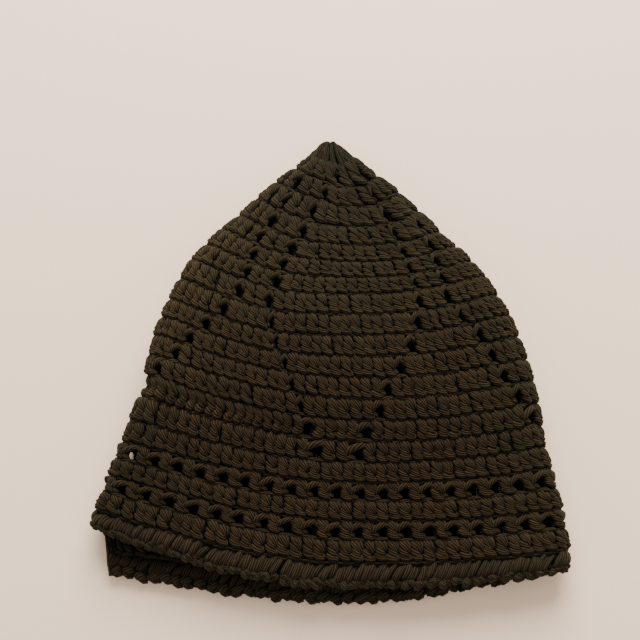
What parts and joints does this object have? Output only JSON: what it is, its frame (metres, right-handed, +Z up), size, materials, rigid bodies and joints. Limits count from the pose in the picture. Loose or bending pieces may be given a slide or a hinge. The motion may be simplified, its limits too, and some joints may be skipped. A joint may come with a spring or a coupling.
{
  "type": "crocheted kufi cap",
  "caption": "Deep brimless crocheted kufi lying flattened, its petals drawn by lines of eyelets, with an eyelet band and a closely stitched rim.",
  "frame": {"origin": "middle of the bounding box, on the face that the cap lies on", "axes": "+Z up through the flattened cap, +Y towards its closed tip, the mouth facing -Y"},
  "size_m": [0.24, 0.2404, 0.029],
  "materials": {
    "crown_yarn": "matt brushed yarn, dark olive brown",
    "band_yarn": "matt brushed yarn, dark olive brown",
    "edging_yarn": "matt fuzzy yarn, greyer olive brown"
  },
  "bodies": {
    "root": {"crown": "crown_yarn", "band": "band_yarn", "edging": "edging_yarn"}
  },
  "joints": []
}
